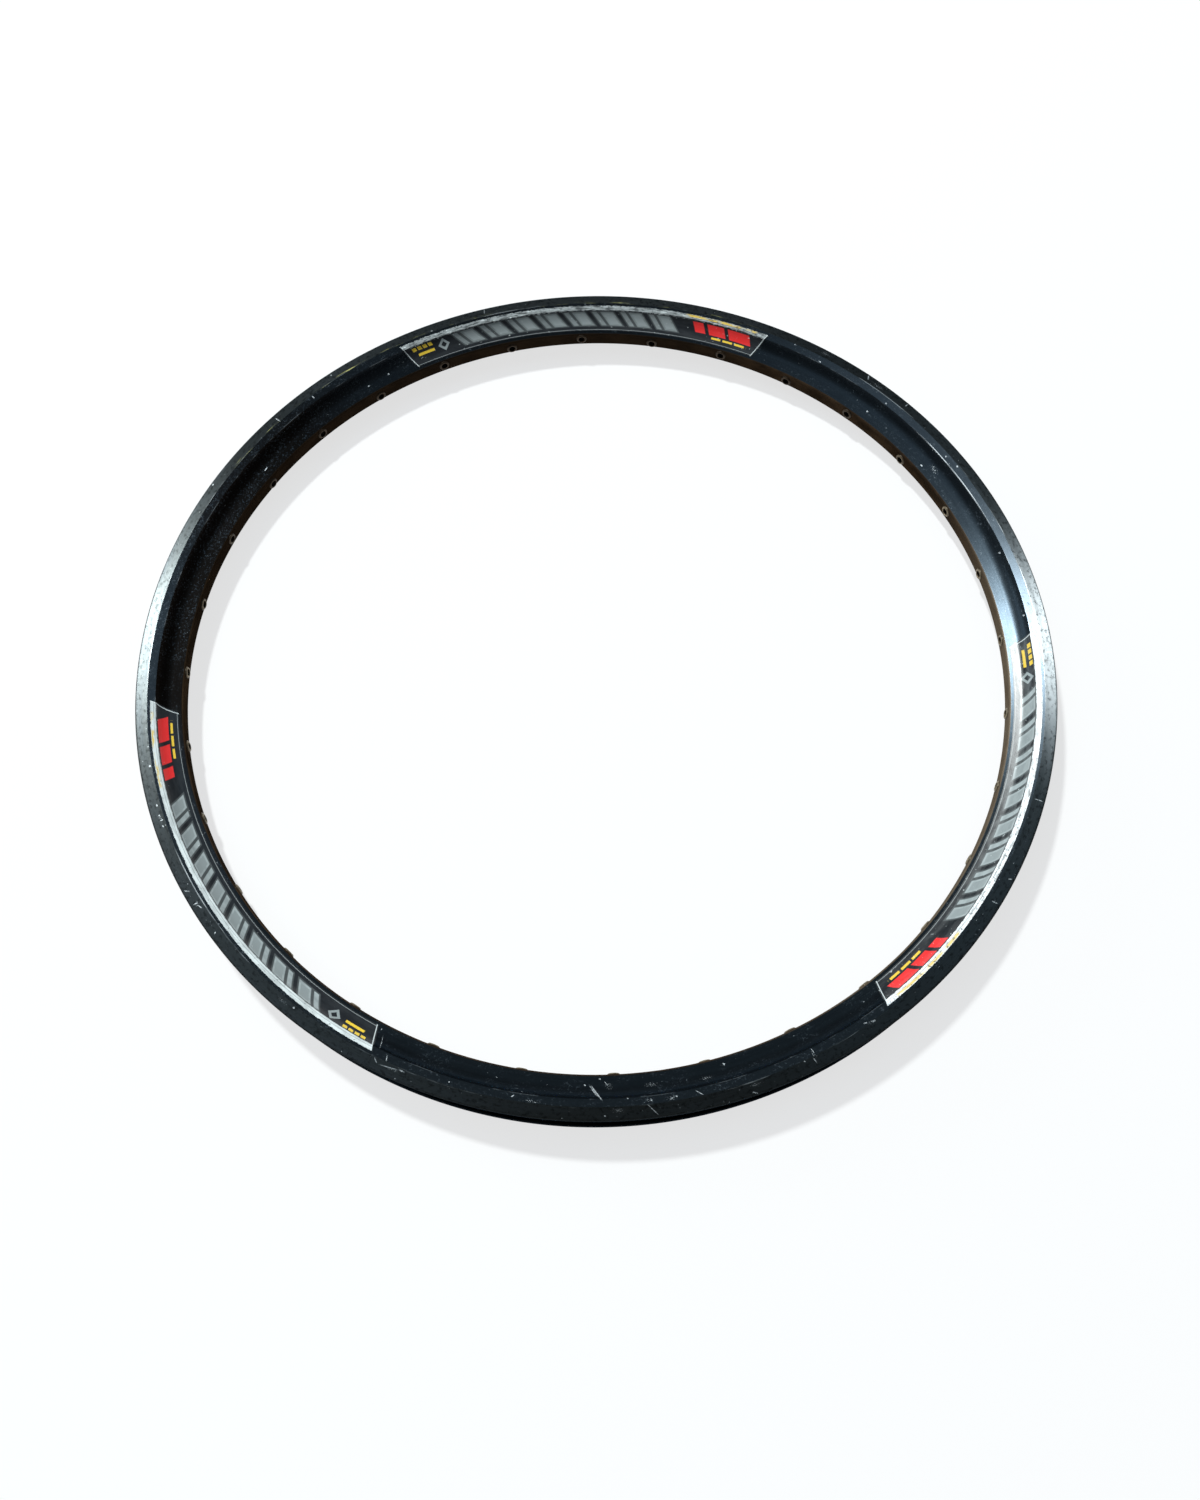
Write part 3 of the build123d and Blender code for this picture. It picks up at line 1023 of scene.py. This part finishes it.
class RIM_OT_eyelets(bpy.types.Operator):
    """Turns one eyelet with a rolled lip and sets a copy in each spoke hole"""

    bl_idname = "rim.eyelets"
    bl_label = "Eyelets"

    def execute(self, context):
        rim = context.scene.rim
        s, d = rim.section, rim.drilling
        bore = d.bore / 2
        barrel = bore + d.barrel_wall
        lip = barrel + d.lip_width
        rim_of_lip = 0.12 * MM
        bm = outline()
        ring = [
            corner(bm, bore, -d.lip_height, 0.35 * MM),
            corner(bm, bore + d.crest, -d.lip_height, 0.3 * MM),
            corner(bm, lip, -rim_of_lip),
            corner(bm, lip, 0),
            corner(bm, barrel, 0),
            corner(bm, barrel, d.barrel_length, 0.15 * MM),
            corner(bm, bore, d.barrel_length, 0.15 * MM),
        ]
        join(bm, ring + ring[:1])
        lathe(bm, segments=3, steps=EYELET_STEPS)
        pattern = bm.verts[:] + bm.edges[:] + bm.faces[:]
        for place in spoke_places(d, sqrt(radii(s)[2] ** 2 - lip**2)):
            copy = bmesh.ops.duplicate(bm, geom=pattern)["geom"]
            bmesh.ops.transform(bm, matrix=place, verts=verts_in(copy))
        bmesh.ops.delete(bm, geom=verts_in(pattern), context="VERTS")
        piece = new_object("eyelets", bm)
        settle(piece, "eyelets", "eyelet_brass", EYELET_SHARP, tarnished_brass(rim.finish, s))
        return {"FINISHED"}


class RIM_OT_labels(bpy.types.Operator):
    """Lays the three film labels over the facet and the cove and maps their print"""

    bl_idname = "rim.labels"
    bl_label = "Labels"

    def execute(self, context):
        s, labels = context.scene.rim.section, context.scene.rim.labels
        films = bmesh.new()
        films.loops.layers.uv.new("print")
        for index, middle in enumerate(labels.centres):
            bm = film_sheet(s, labels, middle)
            map_print(bm, s, labels, index, middle)
            pour(bm, films)
        piece = new_object("labels", films)
        settle(piece, "decals", "label_film", FILM_SHARP, film_print(labels))
        return {"FINISHED"}


class RIM_OT_sleeve(bpy.types.Operator):
    """Gives the sleeve inside the hoop its plain metal"""

    bl_idname = "rim.sleeve"
    bl_label = "Sleeve"

    def execute(self, context):
        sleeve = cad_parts["joint_sleeve"]
        sleeve.data.materials.clear()
        sleeve.data.materials.append(plain_alloy())
        return {"FINISHED"}


# The room: its walls, its ceiling and the soft glows on it, each with a direction, its edge and its colour
ROOM_WALLS = (0.30, 0.31, 0.32)
ROOM_CEILING = (0.058, 0.062, 0.068)
ROOM_GLOWS = (
    ((-0.45, 0.1, 0.88), 0.90, (0.86, 1.09, 1.28)),
    ((-0.1, 0.66, 0.75), 0.955, (0.20, 0.28, 0.31)),
    ((0.356, 0.337, 0.872), 0.94, (0.44, 0.72, 0.95)),
)

# How far the floor is plain white where it is seen
FLOOR_WHITE = 0.72


def pale_floor(tint):
    """A floor that takes shadows and is seen as nearly white."""
    f = Finish(bpy.data.materials.new("pale floor"))
    rays = ("Is Camera Ray", "Is Glossy Ray", "Is Transmission Ray")
    seen = union(f.node("ShaderNodeLightPath", {}, {}, ray) for ray in rays)
    matt = f.node("ShaderNodeBsdfDiffuse", {}, {"Color": (*tint, 1.0)})
    white = f.node("ShaderNodeEmission", {}, {"Color": (1, 1, 1, 1), "Strength": 1.0})
    mixed = f.node("ShaderNodeMixShader", {}, (seen * FLOOR_WHITE, matt, white))
    f.node("ShaderNodeOutputMaterial", {}, (mixed,))
    return f.holder


def dim_room():
    """A dim room with paler walls and soft glows on its ceiling."""
    w = Finish(bpy.data.worlds.new("room"))
    towards = w.node("ShaderNodeTexCoord", {}, {}, "Generated")
    up = w.node("ShaderNodeSeparateXYZ", {}, (towards,), 2)
    sky = w.blend(w.ramp(up, 0.06, 0.34), ROOM_WALLS, ROOM_CEILING)
    for middle, edge, tint in ROOM_GLOWS:
        pair = (towards, Vector(middle).normalized())
        near = w.node("ShaderNodeVectorMath", {"operation": "DOT_PRODUCT"}, pair, "Value")
        sky = w.blend(w.ramp(near, edge, 0.99), sky, tint)
    room = w.node("ShaderNodeBackground", {}, {"Color": sky, "Strength": 1.0})
    w.node("ShaderNodeOutputWorld", {}, (room,))
    return w.holder


def soft_box(name, towards, distance, size, watts, tint):
    """A round lamp that shines at the middle of the rim."""
    lamp = bpy.data.lights.new(name, "AREA")
    lamp.shape = "DISK"
    lamp.size = size
    lamp.energy = watts
    lamp.color = tint
    made = bpy.data.objects.new(name, lamp)
    aim = Vector(towards).normalized()
    made.location = aim * distance
    made.rotation_euler = aim.to_track_quat("Z", "Y").to_euler()
    bpy.context.scene.collection.objects.link(made)


def camera_place(st):
    """Where the camera stands and how it is turned."""
    back = Vector((0, -cos(st.elevation), sin(st.elevation)))
    right = Vector((1, 0, 0))
    up = back.cross(right)
    rolled_right = right * cos(st.roll) + up * sin(st.roll)
    rolled_up = up * cos(st.roll) - right * sin(st.roll)
    turned = Matrix((rolled_right, rolled_up, back)).transposed().to_4x4()
    return Matrix.Translation(Vector(st.aim) + back * st.distance) @ turned


class RIM_OT_stage(bpy.types.Operator):
    """Sets up the floor, the light and the camera"""

    bl_idname = "rim.stage"
    bl_label = "Stage"

    def execute(self, context):
        scene, st = context.scene, context.scene.rim.stage
        gap = 0.02 * MM
        bm = bmesh.new()
        bmesh.ops.create_circle(bm, cap_ends=True, segments=96, radius=st.floor_radius)
        bmesh.ops.translate(bm, verts=bm.verts[:], vec=(0, 0, -scene.rim.section.width / 2 - gap))
        floor = new_object("floor", bm)
        floor.data.materials.append(pale_floor(st.floor))
        lamp = (st.lamp_towards, st.lamp_distance, st.lamp_size, st.lamp_power, st.lamp_tint)
        fill = (st.fill_towards, st.fill_distance, st.fill_size, st.fill_power, st.fill_tint)
        soft_box("key light", *lamp)
        soft_box("fill light", *fill)
        scene.world = dim_room()

        eye = bpy.data.cameras.new("camera")
        eye.lens = st.lens
        eye.sensor_width = 36.0
        eye.sensor_fit = "AUTO"
        eye.clip_start, eye.clip_end = 0.01, 50.0
        camera = bpy.data.objects.new("camera", eye)
        camera.matrix_world = camera_place(st)
        scene.collection.objects.link(camera)
        scene.camera = camera
        scene.view_settings.view_transform = "Standard"
        return {"FINISHED"}


class RIM_PT_panel(bpy.types.Panel):
    """The rim's pieces and settings"""

    bl_idname = "RIM_PT_panel"
    bl_label = "Bicycle Rim"
    bl_space_type = "VIEW_3D"
    bl_region_type = "UI"
    bl_category = "Rim"

    def draw(self, context):
        for step in STEPS:
            self.layout.operator(step.bl_idname)
        for group in RimSettings.__annotations__:
            box = self.layout.box()
            box.label(text=group.title())
            settings = getattr(context.scene.rim, group)
            for name in settings.__annotations__:
                box.prop(settings, name)


STEPS = (RIM_OT_hoop, RIM_OT_eyelets, RIM_OT_labels, RIM_OT_sleeve, RIM_OT_stage)
GROUPS = (RimSection, RimDrilling, RimLabels, RimFinish, RimStage, RimSettings)


def register():
    for item in (*GROUPS, *STEPS, RIM_PT_panel):
        bpy.utils.register_class(item)
    bpy.types.Scene.rim = PointerProperty(type=RimSettings)


def unregister():
    del bpy.types.Scene.rim
    for item in reversed((*GROUPS, *STEPS, RIM_PT_panel)):
        bpy.utils.unregister_class(item)


def main():
    register()
    bpy.ops.rim.hoop()
    bpy.ops.rim.eyelets()
    bpy.ops.rim.labels()
    bpy.ops.rim.sleeve()
    bpy.ops.rim.stage()


if __name__ == "__main__":
    main()
